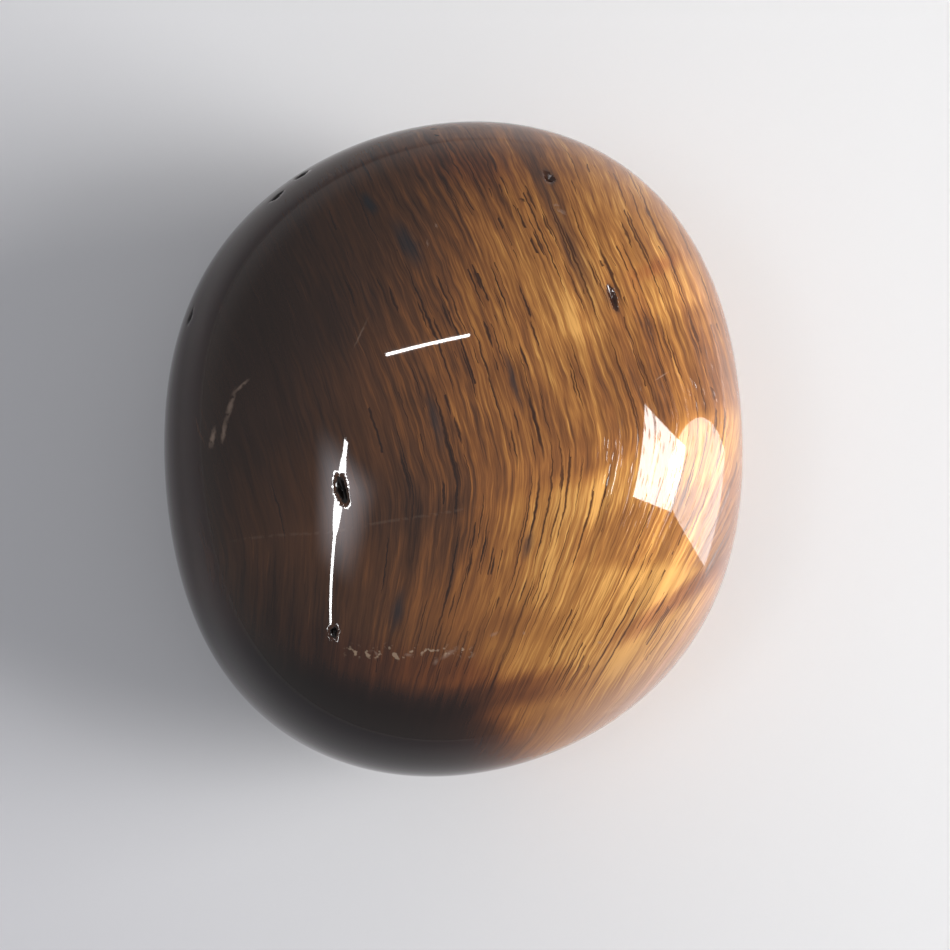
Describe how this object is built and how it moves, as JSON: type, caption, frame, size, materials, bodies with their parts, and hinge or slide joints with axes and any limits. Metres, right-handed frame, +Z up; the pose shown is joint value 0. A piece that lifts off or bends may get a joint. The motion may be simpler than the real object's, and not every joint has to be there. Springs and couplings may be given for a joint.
{
  "type": "polished tiger's eye stone",
  "caption": "Polished, tumbled oval tiger's eye stone with silky golden brown bands, resting on a small worn flat.",
  "frame": {"origin": "bottom centre of the stone's box, on the plane of the flat it rests on", "axes": "+Y along the stone's longest side, +Z up out of the crown, through the shortest side"},
  "size_m": [0.0354, 0.04, 0.0184],
  "materials": {
    "tigers_eye": "high polish over silky golden, brown and dark brown fibre bands"
  },
  "bodies": {
    "root": {"tigers_eye_stone": "tigers_eye"}
  },
  "joints": []
}
